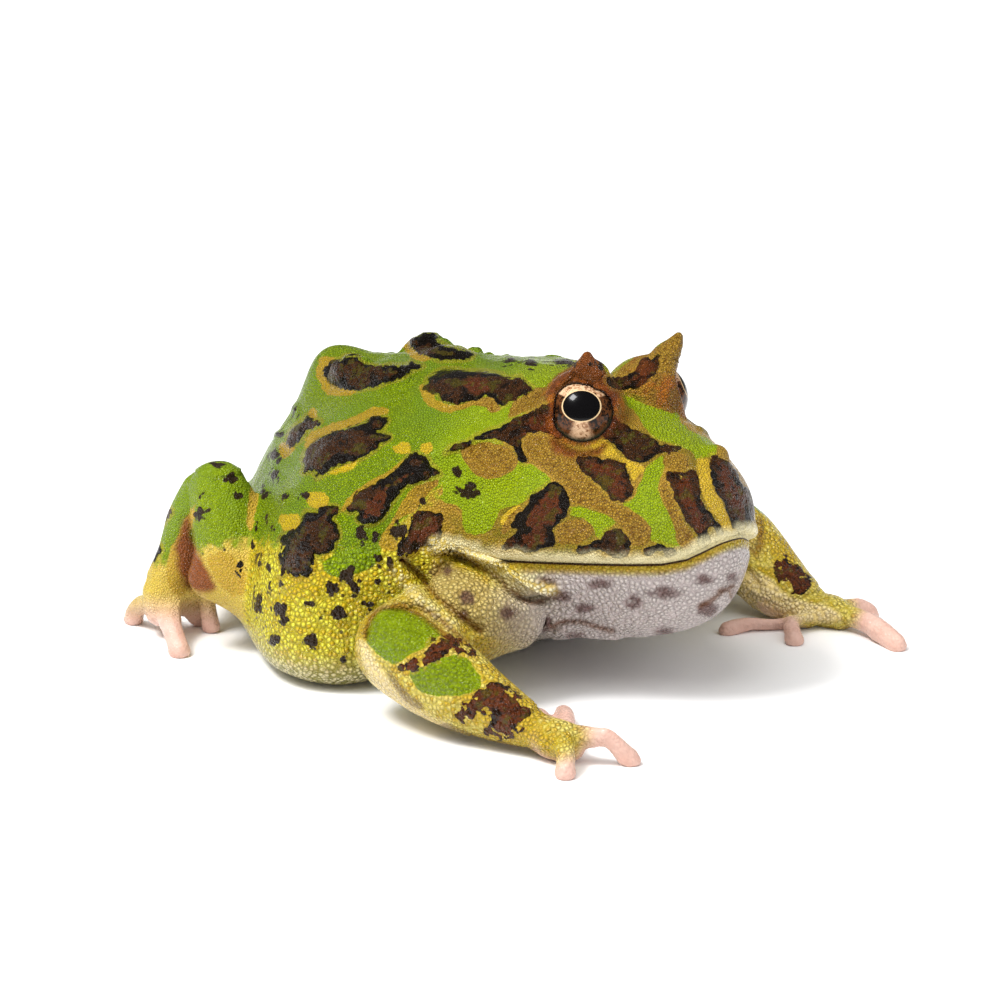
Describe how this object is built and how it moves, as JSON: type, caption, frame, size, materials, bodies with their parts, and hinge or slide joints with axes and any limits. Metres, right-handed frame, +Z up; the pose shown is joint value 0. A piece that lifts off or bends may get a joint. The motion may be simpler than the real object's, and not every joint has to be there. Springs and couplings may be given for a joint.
{
  "type": "horned frog model",
  "caption": "Life-size horned frog sitting low on its belly, head raised, arms forward and hind legs folded at its sides.",
  "frame": {"origin": "on the floor, under the middle of the frog's whole footprint", "axes": "+Z up; the frog faces -Y, and +X is towards the frog's own left side"},
  "size_m": [0.0896, 0.1006, 0.0507],
  "materials": {
    "torso": "moist granular skin, green with dark brown blotches",
    "head": "moist granular skin, green with brown and tan bands",
    "jaw": "pale granular throat skin with purple-brown spots",
    "horn": "orange-brown skin",
    "eye": "wet dark eyeball",
    "arm": "moist skin, yellow and green with dark bands",
    "leg": "moist green skin with small brown spots",
    "digits": "smooth pink skin"
  },
  "bodies": {
    "root": {"torso": "torso", "head": "head", "jaw": "jaw", "eye_R": "eye", "eye_L": "eye", "horn_R": "horn", "horn_L": "horn", "upper_arm_R": "arm", "upper_arm_L": "arm", "forearm_R": "arm", "forearm_L": "arm", "hand_R": "digits", "hand_L": "digits", "thigh_R": "leg", "thigh_L": "leg", "shank_R": "leg", "shank_L": "leg", "foot_R": "digits", "foot_L": "digits"}
  },
  "joints": []
}
